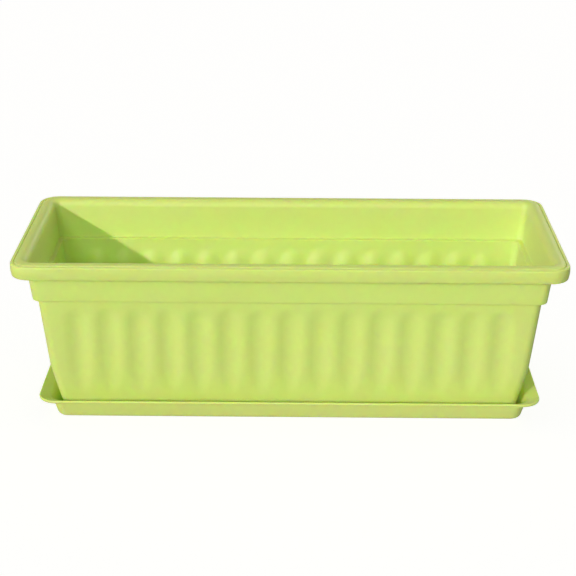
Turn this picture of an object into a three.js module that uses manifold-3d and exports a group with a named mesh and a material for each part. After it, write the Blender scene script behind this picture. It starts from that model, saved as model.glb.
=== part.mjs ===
// Self watering window planter: a fluted trough that stands in a shallow reservoir tray.
// Two perforated platforms keep the soil above the wet zone of the trough, and four wick cups
// with cotton cords hang from the platforms and draw water up from the tray.
// Millimetres, +Z up, +X along the trough, origin at the centre of the tray's underside.

import * as THREE from 'three';
import * as BufferGeometryUtils from 'three/addons/utils/BufferGeometryUtils.js';
import Module from 'manifold-3d';

const wasm = await Module();
wasm.setup();

// ---- Driving dimensions -------------------------------------------------------------------

const RIM_HALF_LENGTH = 300;
const RIM_HALF_DEPTH = 115;
const RIM_TOP = 198;
const RIM_CORNER_RADIUS = 22;
const RIM_FLAT = 11;
const RIM_ROUNDING = 10;
const RIM_CROWN = 1.3;
const SKIRT_BOTTOM = 181.7;
const WALL = 2.2;
const RUNNING_GAP = 0.3;

const BOX_BOTTOM = 6.8;
const BOX_FLOOR = 2.4;
const KNEE_HEIGHT = 62.4;
const KNEE_INSET = 32.2;
const UPPER_LEAN = 0.089;
const LOWER_LEAN = 0.194;
const BOX_FILLET = 4.5;
const BODY_CORNER_RADIUS = 11;
const STEP_HEIGHT = 147.8;
const STEP_WIDTH = 4.6;
const STEP_RISE = 1.6;
const LEDGE_HEIGHT = 152.6;
const BAND_LEAN = 0.096;
const BAND_CORNER_RADIUS = 10;

const FLUTE_PITCH = 33.3;
const FLUTES_LONG_SIDE = 15;
const FLUTES_END = 4;
const FLUTE_DEPTH = 3.6;
const FLUTE_HOLLOW = 20;
const FLUTE_TOP = 143.6;
const FLUTE_TOP_RUN = 22;

const TRAY_HALF_LENGTH = 282;
const TRAY_TOP = 29;
const TRAY_CORNER_RADIUS = 21;
const TRAY_WALL_CORNER_RADIUS = 12;
const TRAY_WALL = 2.2;
const TRAY_FLOOR = 2.4;
const TRAY_LIP_WIDTH = 13.5;
const TRAY_LIP_DISH = 5.5;
const TRAY_LIP_EDGE = 3.4;
const TRAY_WALL_LEAN = 0.24;
const TRAY_FILLET = 4;
const RIB_TOP = BOX_BOTTOM - RUNNING_GAP;
const RIB_THICKNESS = 2.5;

const PLATFORM_TOP = 36;
const PLATFORM_PLATE = 2;
const PLATFORM_HALF_DEPTH = 72;
const PLATFORM_OUTER_END = 257;
const PLATFORM_INNER_END = 0.8;
const PLATFORM_EDGE_DROP = 6;
const PLATFORM_EDGE = 1.8;
const PLATFORM_CORNER = 8;
const LEG_RADIUS = 6;
const LEG_BORE = 4.4;

const CUP_X = [68, 188];
const CUP_FLANGE_RADIUS = 34;
const CUP_TOP_RADIUS = 27;
const CUP_BOTTOM_RADIUS = 20;
const CUP_DEPTH = 24;
const CUP_WALL = 1.8;
const CUP_FLANGE = 2;
const CUP_CORD_HOLE = 4;
const CUP_SEGMENTS = 32;

const CORD_RADIUS = 2.8;
const CORD_KNOT_RADIUS = 6;
const CORD_BOTTOM = 3.4;
const CORD_TOP = 62;
const CORD_PORT_RADIUS = 9;
const DRAIN_RADIUS = 4.5;
const HOLE_SEGMENTS = 14;

const ARC_STEPS = 6;

// ---- Materials ----------------------------------------------------------------------------

const limePlastic = { color: 0xcadb77, roughness: 0.5, metalness: 0 };
const charcoalPlastic = { color: 0x3c403b, roughness: 0.6, metalness: 0 };
const cottonCord = { color: 0xe6e0cc, roughness: 0.95, metalness: 0 };

function namedMesh(name, geometry, look) {
  const mesh = new THREE.Mesh(geometry, new THREE.MeshStandardMaterial(look));
  mesh.name = name;
  return mesh;
}

// ---- Solids -------------------------------------------------------------------------------

function toSolid(geometry) {
  const bare = geometry.clone();
  bare.deleteAttribute('normal');
  bare.deleteAttribute('uv');
  const merged = BufferGeometryUtils.mergeVertices(bare, 1e-4);
  return new wasm.Manifold(new wasm.Mesh({
    numProp: 3,
    vertProperties: new Float32Array(merged.attributes.position.array),
    triVerts: new Uint32Array(merged.index.array),
  }));
}

function toGeometry(solid) {
  const mesh = solid.getMesh();
  const geometry = new THREE.BufferGeometry();
  const positions = new Float32Array(mesh.vertProperties);
  geometry.setAttribute('position', new THREE.BufferAttribute(positions, 3));
  geometry.setIndex(new THREE.BufferAttribute(new Uint32Array(mesh.triVerts), 1));
  geometry.computeVertexNormals();
  return geometry;
}

function cylinderAlongZ(radius, bottom, top, x, y, segments) {
  const geometry = new THREE.CylinderGeometry(radius, radius, top - bottom, segments);
  geometry.rotateX(Math.PI / 2);
  geometry.translate(x, y, (top + bottom) / 2);
  return toSolid(geometry);
}

function block(lengthX, lengthY, bottom, top, x, y) {
  const geometry = new THREE.BoxGeometry(lengthX, lengthY, top - bottom);
  geometry.translate(x, y, (top + bottom) / 2);
  return toSolid(geometry);
}

// ---- Plan outlines ------------------------------------------------------------------------
// An outline is an anticlockwise loop of points at one height. Each point carries its turn, a
// number from 0 to 4 that counts corners and sides, so outlines with different numbers of points
// can be zipped together.

const CORNER_SHARE = 0.2;
const CORNER_CLEARANCE = 0.5;

// Places along a side of the trough where the flute wave has a ridge, a flank or a hollow.
function fluteStations(count) {
  const stations = [-count * FLUTE_PITCH / 2];
  for (let i = 0; i < count; i += 1) {
    const centre = (i - (count - 1) / 2) * FLUTE_PITCH;
    stations.push(centre - FLUTE_HOLLOW / 2, centre, centre + FLUTE_HOLLOW / 2, centre + FLUTE_PITCH / 2);
  }
  return stations;
}

// How far the flute wave lies inside its ridges at a distance from a flute's centre.
// The hollow and the ridge are parabolas that meet with one slope.
function fluteWave(distance) {
  const hollow = FLUTE_HOLLOW / 2;
  const ridge = FLUTE_PITCH / 2 - hollow;
  const hollowDrop = FLUTE_DEPTH * hollow / (hollow + ridge);
  if (distance < hollow) {
    return FLUTE_DEPTH - hollowDrop * (distance / hollow) ** 2;
  }
  const toRidge = Math.max(0, FLUTE_PITCH / 2 - distance);
  return (FLUTE_DEPTH - hollowDrop) * (toRidge / ridge) ** 2;
}

// Each flute ends in a round top.
function fluteDepthAt(along, count, height) {
  if (Math.abs(along) >= count * FLUTE_PITCH / 2) {
    return 0;
  }
  const shifted = along / FLUTE_PITCH + (count % 2 ? 0 : 0.5);
  const across = Math.abs(shifted - Math.round(shifted)) * FLUTE_PITCH;
  const climb = Math.max(0, (height - (FLUTE_TOP - FLUTE_TOP_RUN)) / FLUTE_TOP_RUN);
  return fluteWave(Math.hypot(across, climb * FLUTE_PITCH / 2));
}

// The lower wall leans in more than the flute hollows do, so it trims the flutes to points.
function bodyInset(height, fluteDepth) {
  const upper = KNEE_INSET + UPPER_LEAN * (KNEE_HEIGHT - height) + fluteDepth;
  const lower = KNEE_INSET + LOWER_LEAN * (KNEE_HEIGHT - height);
  return Math.max(upper, lower);
}

function outline(halfLength, halfDepth, radius, height, sideStations = () => []) {
  const points = [];
  for (let side = 0; side < 4; side += 1) {
    const lengthwise = side % 2 === 0;
    const reach = lengthwise ? halfDepth : halfLength;
    const run = (lengthwise ? halfLength : halfDepth) - radius;
    const turnMatrix = new THREE.Matrix4().makeRotationZ(side * Math.PI / 2);
    for (let step = 0; step <= ARC_STEPS; step += 1) {
      const angle = -Math.PI + (step / ARC_STEPS) * Math.PI / 2;
      const x = -run + radius * Math.cos(angle);
      const y = -(reach - radius) + radius * Math.sin(angle);
      const turn = side + CORNER_SHARE * step / ARC_STEPS;
      points.push({ place: new THREE.Vector3(x, y, height).applyMatrix4(turnMatrix), turn });
    }
    for (const { along, inset } of sideStations(lengthwise)) {
      const place = new THREE.Vector3(along, -(reach - inset), height);
      const turn = side + CORNER_SHARE + (1 - CORNER_SHARE) * (along + run) / (2 * run);
      points.push({ place: place.applyMatrix4(turnMatrix), turn });
    }
  }
  return points;
}

// A trough outline at one height, inset from the rim's outside, with its flutes if it has any.
function troughOutline(inset, radius, height) {
  return outline(RIM_HALF_LENGTH - inset, RIM_HALF_DEPTH - inset, radius, height);
}

function flutedOutline(height, extraInset, radius) {
  const plain = bodyInset(height, 0) + extraInset;
  const halfLength = RIM_HALF_LENGTH - plain;
  const halfDepth = RIM_HALF_DEPTH - plain;
  const stations = (lengthwise) => {
    const count = lengthwise ? FLUTES_LONG_SIDE : FLUTES_END;
    const limit = (lengthwise ? halfLength : halfDepth) - radius - CORNER_CLEARANCE;
    return fluteStations(count).map((station) => {
      const along = THREE.MathUtils.clamp(station, -limit, limit);
      return { along, inset: bodyInset(height, fluteDepthAt(along, count, height)) + extraInset - plain };
    });
  };
  return outline(halfLength, halfDepth, radius, height, stations);
}

// Closed body from a stack of outlines: neighbours are zipped together and both ends are capped.
function loft(outlines) {
  const positions = [];
  const triangles = [];
  const addPoint = (point) => {
    positions.push(point.x, point.y, point.z);
    return positions.length / 3 - 1;
  };
  const addLoop = (points) => points.map(({ place, turn }) => ({ index: addPoint(place), turn }));
  const loops = outlines.map(addLoop);
  for (let i = 0; i + 1 < loops.length; i += 1) {
    zip(loops[i], loops[i + 1], triangles);
  }
  cap(loops[0], addPoint(new THREE.Vector3(0, 0, outlines[0][0].place.z)), triangles, true);
  const last = outlines.length - 1;
  cap(loops[last], addPoint(new THREE.Vector3(0, 0, outlines[last][0].place.z)), triangles, false);
  const geometry = new THREE.BufferGeometry();
  geometry.setAttribute('position', new THREE.Float32BufferAttribute(positions, 3));
  geometry.setIndex(triangles);
  return geometry;
}

function zip(lower, upper, triangles) {
  const turnOf = (loop, i) => loop[i % loop.length].turn + (i >= loop.length ? 4 : 0);
  let a = 0;
  let b = 0;
  while (a < lower.length || b < upper.length) {
    const upperIsDone = b >= upper.length;
    const lowerIsNext = a < lower.length && (upperIsDone || turnOf(lower, a + 1) <= turnOf(upper, b + 1));
    const from = lower[a % lower.length].index;
    const across = upper[b % upper.length].index;
    if (lowerIsNext) {
      triangles.push(from, lower[(a + 1) % lower.length].index, across);
      a += 1;
    } else {
      triangles.push(from, upper[(b + 1) % upper.length].index, across);
      b += 1;
    }
  }
}

function cap(loop, centre, triangles, facesDown) {
  loop.forEach((point, i) => {
    const next = loop[(i + 1) % loop.length];
    triangles.push(centre, facesDown ? next.index : point.index, facesDown ? point.index : next.index);
  });
}

// ---- Planter box --------------------------------------------------------------------------

// The flutes start where the lower wall has leant in by their full depth.
const FLUTE_START = KNEE_HEIGHT - FLUTE_DEPTH / (LOWER_LEAN - UPPER_LEAN);
const FLUTED_HEIGHTS = [
  FLUTE_START,
  38,
  48,
  KNEE_HEIGHT,
  FLUTE_TOP - FLUTE_TOP_RUN,
  FLUTE_TOP - FLUTE_TOP_RUN * 0.6,
  FLUTE_TOP - FLUTE_TOP_RUN * 0.3,
  FLUTE_TOP,
];

// Quarter of an ellipse in a wall's profile, from straight inwards of its centre to straight above
// it, as pairs of inset and height.
function rounding(centreInset, centreHeight, insetReach, heightReach) {
  return [0, 22.5, 45, 67.5, 90].map((degrees) => {
    const angle = THREE.MathUtils.degToRad(degrees);
    return [centreInset + insetReach * Math.cos(angle), centreHeight + heightReach * Math.sin(angle)];
  });
}

function planterBoxGeometry() {
  const bodyTopInset = bodyInset(STEP_HEIGHT, 0);
  const bandBottom = STEP_HEIGHT + STEP_RISE;
  const bandBottomInset = bodyTopInset - STEP_WIDTH;
  const bandInset = (height) => bandBottomInset - BAND_LEAN * (height - bandBottom);
  const filletTop = BOX_BOTTOM + BOX_FILLET;
  const footInset = bodyInset(filletTop, 0);
  const innerRadius = BODY_CORNER_RADIUS - WALL;
  const innerBandRadius = BAND_CORNER_RADIUS - WALL;
  const roundingBottom = RIM_TOP - RIM_ROUNDING;
  const bandTopInset = bandInset(roundingBottom);
  const bandTopRadius = BAND_CORNER_RADIUS - 1;
  const underRounding = rounding(RIM_FLAT, roundingBottom, bandTopInset - RIM_FLAT, RIM_ROUNDING - WALL);
  const topRounding = rounding(RIM_FLAT, roundingBottom, bandTopInset + WALL - RIM_FLAT, RIM_ROUNDING);
  const rounded = (reference, radius) => ([inset, height]) => (
    troughOutline(inset, radius + reference - inset, height)
  );

  const outside = [
    troughOutline(footInset + BOX_FILLET, BODY_CORNER_RADIUS - BOX_FILLET, BOX_BOTTOM),
    troughOutline(footInset + BOX_FILLET * 0.3, BODY_CORNER_RADIUS - 1.5, BOX_BOTTOM + BOX_FILLET * 0.3),
    troughOutline(footInset, BODY_CORNER_RADIUS, filletTop),
    ...FLUTED_HEIGHTS.map((height) => flutedOutline(height, 0, BODY_CORNER_RADIUS)),
    troughOutline(bodyTopInset, BODY_CORNER_RADIUS, STEP_HEIGHT),
    troughOutline(bandBottomInset + 0.6, BAND_CORNER_RADIUS, bandBottom - 0.6),
    troughOutline(bandBottomInset, BAND_CORNER_RADIUS, bandBottom + 0.8),
  ];
  const rim = [
    ...underRounding.map(rounded(bandTopInset, bandTopRadius)),
    troughOutline(WALL + 0.4, RIM_CORNER_RADIUS - WALL, RIM_TOP - RIM_CROWN - WALL),
    troughOutline(WALL + 0.6, RIM_CORNER_RADIUS - WALL, SKIRT_BOTTOM),
    troughOutline(0.7, RIM_CORNER_RADIUS, SKIRT_BOTTOM),
    troughOutline(0, RIM_CORNER_RADIUS, SKIRT_BOTTOM + 6),
    troughOutline(0.3, RIM_CORNER_RADIUS, RIM_TOP - RIM_CROWN - 3),
    troughOutline(1, RIM_CORNER_RADIUS - 0.8, RIM_TOP - RIM_CROWN - 1),
    troughOutline(3, RIM_CORNER_RADIUS - 2.8, RIM_TOP - RIM_CROWN),
    ...topRounding.toReversed().map(rounded(bandTopInset + WALL, bandTopRadius - WALL)),
  ];
  const inside = [
    troughOutline(bandInset(LEDGE_HEIGHT) + WALL, innerBandRadius, LEDGE_HEIGHT),
    troughOutline(bodyTopInset + WALL, innerRadius, LEDGE_HEIGHT - 0.4),
    ...FLUTED_HEIGHTS.toReversed().map((height) => flutedOutline(height, WALL, innerRadius)),
    troughOutline(footInset + WALL, innerRadius, filletTop + 0.8),
    troughOutline(footInset + WALL + BOX_FILLET * 0.7, innerRadius - 2, BOX_BOTTOM + BOX_FLOOR),
  ];
  let box = toSolid(loft([...outside, ...rim, ...inside]));
  for (const [x, y, radius] of floorHoles()) {
    const hole = cylinderAlongZ(radius, BOX_BOTTOM - 1, BOX_BOTTOM + BOX_FLOOR + 1, x, y, HOLE_SEGMENTS);
    box = box.subtract(hole);
  }
  return toGeometry(box);
}

// Cord ports under the cups, with drain and inlet holes on both sides of each.
function floorHoles() {
  const holes = [];
  for (const cupX of CUP_X) {
    for (const side of [-1, 1]) {
      holes.push([side * cupX, 0, CORD_PORT_RADIUS]);
      for (const [dx, dy] of [[-40, -20], [-40, 20], [40, -20], [40, 20]]) {
        holes.push([side * (cupX + dx), dy, DRAIN_RADIUS]);
      }
    }
  }
  return holes;
}

// ---- Reservoir tray -----------------------------------------------------------------------

function trayGeometry() {
  const overhang = RIM_HALF_LENGTH - RIM_HALF_DEPTH;
  const tray = (halfLength, radius, height) => outline(halfLength, halfLength - overhang, radius, height);
  const wallTop = TRAY_HALF_LENGTH - TRAY_LIP_WIDTH;
  const lipUnderside = TRAY_TOP - TRAY_LIP_DISH - TRAY_WALL;
  const wallAt = (height) => wallTop - TRAY_WALL_LEAN * (lipUnderside - height);
  const corner = TRAY_WALL_CORNER_RADIUS;
  const base = wallAt(TRAY_FILLET);
  const shell = toSolid(loft([
    tray(base - TRAY_FILLET, corner - TRAY_FILLET, 0),
    tray(base - TRAY_FILLET * 0.3, corner - 1.5, TRAY_FILLET * 0.3),
    tray(base, corner, TRAY_FILLET),
    tray(wallAt(lipUnderside - 3), corner, lipUnderside - 3),
    tray(wallTop + 1, corner + 1.5, lipUnderside),
    tray(wallTop + 4, corner + 4, lipUnderside + 1.6),
    tray(TRAY_HALF_LENGTH - 1.2, TRAY_CORNER_RADIUS - 1, TRAY_TOP - TRAY_LIP_EDGE),
    tray(TRAY_HALF_LENGTH, TRAY_CORNER_RADIUS, TRAY_TOP - TRAY_LIP_EDGE + 0.8),
    tray(TRAY_HALF_LENGTH, TRAY_CORNER_RADIUS, TRAY_TOP - 0.6),
    tray(TRAY_HALF_LENGTH - 1, TRAY_CORNER_RADIUS - 1, TRAY_TOP),
    tray(wallTop + 4, corner + 4, TRAY_TOP - TRAY_LIP_DISH + 1.6),
    tray(wallTop + 0.6, corner + 1, TRAY_TOP - TRAY_LIP_DISH - 0.8),
    tray(wallAt(lipUnderside - 4) - TRAY_WALL, corner - 1, lipUnderside - 3),
    tray(base - TRAY_WALL + 0.2, corner - TRAY_WALL, TRAY_FILLET + TRAY_WALL),
    tray(base - TRAY_WALL - TRAY_FILLET * 0.8, corner - TRAY_FILLET, TRAY_FLOOR),
  ]));
  const ribs = [
    ...[-40, 40].map((y) => block(460, RIB_THICKNESS, TRAY_FLOOR - 1, RIB_TOP, 0, y)),
    ...[-128, 0, 128].map((x) => block(RIB_THICKNESS, 120, TRAY_FLOOR - 1, RIB_TOP, x, 0)),
  ];
  return toGeometry(ribs.reduce((solid, rib) => solid.add(rib), shell));
}

// ---- Soil platform ------------------------------------------------------------------------

// Plan of the right-hand platform, shrunk by a margin.
function platformPlan(margin) {
  const left = PLATFORM_INNER_END + margin;
  const right = PLATFORM_OUTER_END - margin;
  const side = PLATFORM_HALF_DEPTH - margin;
  const radius = PLATFORM_CORNER - margin;
  const plan = new THREE.Shape();
  plan.moveTo(left, -side);
  plan.lineTo(right - radius, -side);
  plan.absarc(right - radius, -side + radius, radius, -Math.PI / 2, 0, false);
  plan.lineTo(right, side - radius);
  plan.absarc(right - radius, side - radius, radius, 0, Math.PI / 2, false);
  plan.lineTo(left, side);
  return new THREE.Shape(distinctPoints(plan.getPoints(8)));
}

// Arcs start where the line before them ends, so one of each such pair of points is dropped.
function distinctPoints(points) {
  return points.filter((point, i) => point.distanceTo(points[(i + 1) % points.length]) > 1e-3);
}

const SLOT_PITCH_X = 15;
const SLOT_ROWS = [-52, -30, -8, 8, 30, 52];
const SLOT_WIDTH = 4;
const SLOT_LENGTH = 14;
const LEG_X = [16, 128, 242];
const LEG_Y = 61;
const SLOT_FIRST_X = 16;
const SLOT_LAST_X = 245;

// A slot is left out where it would cut into a cup seat or a leg.
function slotIsClear(x, y) {
  const nearCup = CUP_X.some((cupX) => Math.hypot(x - cupX, y) < CUP_FLANGE_RADIUS + SLOT_LENGTH / 2 + 2);
  const toLeg = (legX) => Math.hypot(x - legX, Math.abs(y) - LEG_Y);
  const nearLeg = LEG_X.some((legX) => toLeg(legX) < LEG_RADIUS + SLOT_LENGTH / 2 + 2);
  return !nearCup && !nearLeg;
}

function extruded(plan, bottom, top) {
  const options = { depth: top - bottom, bevelEnabled: false, curveSegments: 8 };
  const geometry = new THREE.ExtrudeGeometry(plan, options);
  geometry.translate(0, 0, bottom);
  return toSolid(geometry);
}

function platformGeometry() {
  const plateBottom = PLATFORM_TOP - PLATFORM_PLATE;
  const slots = [];
  for (let x = SLOT_FIRST_X; x <= SLOT_LAST_X; x += SLOT_PITCH_X) {
    for (const y of SLOT_ROWS.filter((row) => slotIsClear(x, row))) {
      const slot = new THREE.BoxGeometry(SLOT_WIDTH, SLOT_LENGTH, 2 * PLATFORM_PLATE);
      slots.push(slot.translate(x, y, PLATFORM_TOP - PLATFORM_PLATE / 2));
    }
  }
  let platform = extruded(platformPlan(0), plateBottom, PLATFORM_TOP);
  platform = platform.subtract(toSolid(BufferGeometryUtils.mergeGeometries(slots)));
  const edgeBottom = PLATFORM_TOP - PLATFORM_EDGE_DROP;
  const edge = extruded(platformPlan(0), edgeBottom, PLATFORM_TOP - PLATFORM_PLATE / 2);
  const insideEdge = extruded(platformPlan(PLATFORM_EDGE), edgeBottom - 1, PLATFORM_TOP);
  platform = platform.add(edge.subtract(insideEdge));
  const legBottom = BOX_BOTTOM + BOX_FLOOR + RUNNING_GAP;
  for (const x of LEG_X) {
    for (const y of [-LEG_Y, LEG_Y]) {
      const leg = cylinderAlongZ(LEG_RADIUS, legBottom, PLATFORM_TOP - 1, x, y, HOLE_SEGMENTS);
      const bore = cylinderAlongZ(LEG_BORE, legBottom - 1, plateBottom, x, y, HOLE_SEGMENTS);
      platform = platform.add(leg).subtract(bore);
    }
  }
  for (const x of CUP_X) {
    const openingRadius = CUP_TOP_RADIUS + 2 * RUNNING_GAP;
    const opening = cylinderAlongZ(openingRadius, plateBottom - 1, PLATFORM_TOP + 1, x, 0, CUP_SEGMENTS);
    platform = platform.subtract(opening);
  }
  return toGeometry(platform);
}

// ---- Wick cup and cord --------------------------------------------------------------------

function cupGeometry() {
  const seat = PLATFORM_TOP + RUNNING_GAP;
  const bottom = PLATFORM_TOP - CUP_DEPTH;
  const floorTop = bottom + CUP_WALL;
  const profile = [
    [CUP_CORD_HOLE, bottom],
    [CUP_BOTTOM_RADIUS, bottom],
    [CUP_TOP_RADIUS, seat],
    [CUP_FLANGE_RADIUS, seat],
    [CUP_FLANGE_RADIUS, seat + CUP_FLANGE],
    [CUP_TOP_RADIUS - CUP_WALL, seat + CUP_FLANGE],
    [CUP_BOTTOM_RADIUS - CUP_WALL, floorTop],
    [CUP_CORD_HOLE, floorTop],
    [CUP_CORD_HOLE, bottom],
  ].map(([radius, height]) => new THREE.Vector2(radius, height));
  const lathe = new THREE.LatheGeometry(profile, CUP_SEGMENTS);
  lathe.rotateX(Math.PI / 2);
  let cup = toSolid(lathe);
  const slotBottom = floorTop + 2;
  const slotTop = seat - 3;
  for (let i = 0; i < 6; i += 1) {
    const slot = new THREE.BoxGeometry(2 * CUP_TOP_RADIUS + 4, 2.6, slotTop - slotBottom);
    slot.rotateZ((i + 0.5) * Math.PI / 6);
    slot.translate(0, 0, (slotTop + slotBottom) / 2);
    cup = cup.subtract(toSolid(slot));
  }
  return toGeometry(cup);
}

// The cord's knot rests on the cup's floor and its tail hangs into the tray.
function cordGeometry() {
  const knotBottom = PLATFORM_TOP - CUP_DEPTH + CUP_WALL + RUNNING_GAP;
  const knotHeight = 2 * CORD_KNOT_RADIUS;
  const profile = [
    [0, CORD_BOTTOM],
    [CORD_RADIUS, CORD_BOTTOM],
    [CORD_RADIUS, knotBottom],
    [CORD_KNOT_RADIUS * 0.8, knotBottom + knotHeight * 0.15],
    [CORD_KNOT_RADIUS, knotBottom + knotHeight * 0.5],
    [CORD_KNOT_RADIUS * 0.8, knotBottom + knotHeight * 0.85],
    [CORD_RADIUS, knotBottom + knotHeight],
    [CORD_RADIUS, CORD_TOP],
    [0, CORD_TOP],
  ].map(([radius, height]) => new THREE.Vector2(radius, height));
  const lathe = new THREE.LatheGeometry(profile, 14);
  lathe.rotateX(Math.PI / 2);
  return toGeometry(toSolid(lathe));
}

// ---- Assembly -----------------------------------------------------------------------------

const planter = new THREE.Group();
planter.add(namedMesh('reservoir_tray', trayGeometry(), limePlastic));
planter.add(namedMesh('planter_box', planterBoxGeometry(), limePlastic));

// Both platforms come out of one mould: the left one is the right one turned half a turn.
for (const side of ['right', 'left']) {
  const half = new THREE.Group();
  half.rotation.z = side === 'left' ? Math.PI : 0;
  half.add(namedMesh(`soil_platform_${side}`, platformGeometry(), limePlastic));
  CUP_X.forEach((x, i) => {
    const place = i === 0 ? 'inner' : 'outer';
    const cup = namedMesh(`wick_cup_${side}_${place}`, cupGeometry(), charcoalPlastic);
    const cord = namedMesh(`wick_cord_${side}_${place}`, cordGeometry(), cottonCord);
    cup.position.x = x;
    cord.position.x = x;
    half.add(cup, cord);
  });
  planter.add(half);
}

export default planter;
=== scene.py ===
"""Looks of a self watering window planter: lime mouldings, charcoal wick cups and cotton cords.

Lengths are written in millimetres and turned into metres by MM where a mesh is made. The trough's
walls are described by their inset, the distance in from the rim's outermost outline in plan.
"""

import math
import random

import bmesh
import bpy
import numpy as np
from mathutils import Matrix, Vector


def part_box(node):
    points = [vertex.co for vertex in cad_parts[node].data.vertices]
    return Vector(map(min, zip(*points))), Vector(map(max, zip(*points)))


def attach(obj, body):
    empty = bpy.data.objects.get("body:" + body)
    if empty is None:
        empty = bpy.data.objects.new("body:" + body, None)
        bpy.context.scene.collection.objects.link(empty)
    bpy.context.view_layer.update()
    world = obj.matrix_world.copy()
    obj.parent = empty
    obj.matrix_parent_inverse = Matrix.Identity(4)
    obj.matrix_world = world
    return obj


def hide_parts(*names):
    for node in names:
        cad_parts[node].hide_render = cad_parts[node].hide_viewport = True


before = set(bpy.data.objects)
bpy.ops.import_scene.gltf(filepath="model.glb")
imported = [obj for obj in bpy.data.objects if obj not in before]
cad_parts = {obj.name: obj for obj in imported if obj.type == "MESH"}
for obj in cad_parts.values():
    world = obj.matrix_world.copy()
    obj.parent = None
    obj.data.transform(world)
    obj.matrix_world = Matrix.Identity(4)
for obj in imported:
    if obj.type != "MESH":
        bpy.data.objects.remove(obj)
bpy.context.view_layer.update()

MM = 0.001


# ---- Sizes, from the frame and a few wall dimensions -------------------------------------------

box_low, box_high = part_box("planter_box")
_, tray_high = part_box("reservoir_tray")
platform_low, platform_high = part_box("soil_platform_right")
cup_low, cup_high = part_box("wick_cup_right_inner")
cord_low, cord_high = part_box("wick_cord_right_inner")

RIM_LENGTH = box_high.x / MM
RIM_DEPTH = box_high.y / MM
RIM_TOP = box_high.z / MM
BOX_BOTTOM = box_low.z / MM
TRAY_LENGTH = tray_high.x / MM
TRAY_DEPTH = tray_high.y / MM
TRAY_TOP = tray_high.z / MM

WALL = 2.2
FLOOR = 2.4
SKIRT_BOTTOM = RIM_TOP - 16.3
STEP = RIM_TOP - 50.2
LEDGE = RIM_TOP - 45.4
BAND_LEAN = 0.096
BAND_INSET = 20.0
KNEE = 62.4
KNEE_INSET = 32.2
KNEE_BLEND = 0.7
UPPER_LEAN = 0.089
LOWER_LEAN = 0.194
RIM_RADIUS = 22.0
RIM_FLAT = 11.0
RIM_ROUNDING = 10.0
RIM_GROOVE = 3.4
RIM_CROWN = 1.3
BAND_RADIUS = 10.0
BODY_RADIUS = 11.0

FLUTE_PITCH = 33.3
FLUTE_COUNT_LONG = 15
FLUTE_COUNT_END = 4
FLUTE_DEPTH = 3.6
FLUTE_HOLLOW = 10.0
FLUTE_TOP = 143.6
FLUTE_TOP_RUN = 22.0
FLUTE_SAMPLES = 8
CORNER_STEPS = 14
ROW_SPACING = 3.0


# ---- Mesh helpers -----------------------------------------------------------------------------


def make_object(name, bm, body, material, replaced):
    """Turns a bmesh in metres into a smooth piece that rides on a body and stands for CAD nodes."""
    bmesh.ops.recalc_face_normals(bm, faces=bm.faces)
    mesh = bpy.data.meshes.new(name)
    bm.to_mesh(mesh)
    bm.free()
    mesh.shade_smooth()
    piece = bpy.data.objects.new(name, mesh)
    bpy.context.scene.collection.objects.link(piece)
    piece.data.materials.append(material)
    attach(piece, body)
    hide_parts(*replaced)
    return piece


def weight_normals(piece, crease_degrees=40):
    """Keeps big flat faces flat next to small rounded edges."""
    piece.data.set_sharp_from_angle(angle=math.radians(crease_degrees))
    modifier = piece.modifiers.new("weighted normals", "WEIGHTED_NORMAL")
    modifier.keep_sharp = True
    modifier.weight = 80


def fillet(points, spacing=6.0):
    """Samples a path of (inset, height, plan radius, fillet radius), with its corners rounded.

    Returns rows of (inset, height, plan radius). Straight runs are cut to about the spacing.
    """
    path = [np.array(p[:3], float) for p in points]
    rows = []
    for i, here in enumerate(path):
        radius = points[i][3]
        if i in (0, len(path) - 1) or radius == 0:
            rows.append(here)
            continue
        before = path[i - 1] - here
        after = path[i + 1] - here
        reach_before = np.linalg.norm(before[:2])
        reach_after = np.linalg.norm(after[:2])
        u = before / reach_before
        v = after / reach_after
        turn = math.pi - math.acos(np.clip(u[:2] @ v[:2], -1, 1))
        cut = min(radius * math.tan(turn / 2), 0.48 * reach_before, 0.48 * reach_after)
        steps = max(2, math.ceil(turn / math.radians(14)))
        for k in range(steps + 1):
            t = k / steps
            rows.append(here + u * cut * (1 - t) ** 2 + v * cut * t**2)
    dense = [rows[0]]
    for row in rows[1:]:
        gap = np.linalg.norm(row[:2] - dense[-1][:2])
        if gap < 1e-4:
            continue
        start = dense[-1]
        pieces = max(1, round(gap / spacing))
        dense += [start + (row - start) * (k / pieces) for k in range(1, pieces + 1)]
    return dense


def plan_loop(half_length, half_depth, radius, long_stations=(), end_stations=(), pushes=None):
    """Points of an anticlockwise rounded rectangle. Stations are places along its long and end
    sides, and pushes holds how far each station lies inside the side's line."""
    points = []
    for side in range(4):
        lengthwise = side % 2 == 0
        reach = half_depth if lengthwise else half_length
        run = (half_length if lengthwise else half_depth) - radius
        turn = side * math.pi / 2
        cos_turn, sin_turn = round(math.cos(turn)), round(math.sin(turn))
        angles = -math.pi + np.linspace(0, math.pi / 2, CORNER_STEPS + 1)
        xs = -run + radius * np.cos(angles)
        ys = -(reach - radius) + radius * np.sin(angles)
        stations = np.array(long_stations if lengthwise else end_stations, float)
        if len(stations):
            squeeze = min(1.0, (run - 0.6) / stations.max())
            push = pushes[0 if lengthwise else 1] if pushes else np.zeros(len(stations))
            xs = np.concatenate([xs, stations * squeeze])
            ys = np.concatenate([ys, -(reach - push)])
        points.append(np.stack([xs * cos_turn - ys * sin_turn, xs * sin_turn + ys * cos_turn], 1))
    return np.concatenate(points)


def add_loop(bm, points, height):
    return [bm.verts.new((x * MM, y * MM, height * MM)) for x, y in points]


def bridge(bm, first, second):
    """Quads between two closed loops with the same number of points."""
    count = len(first)
    for i in range(count):
        j = (i + 1) % count
        bm.faces.new((first[i], first[j], second[j], second[i]))


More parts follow.
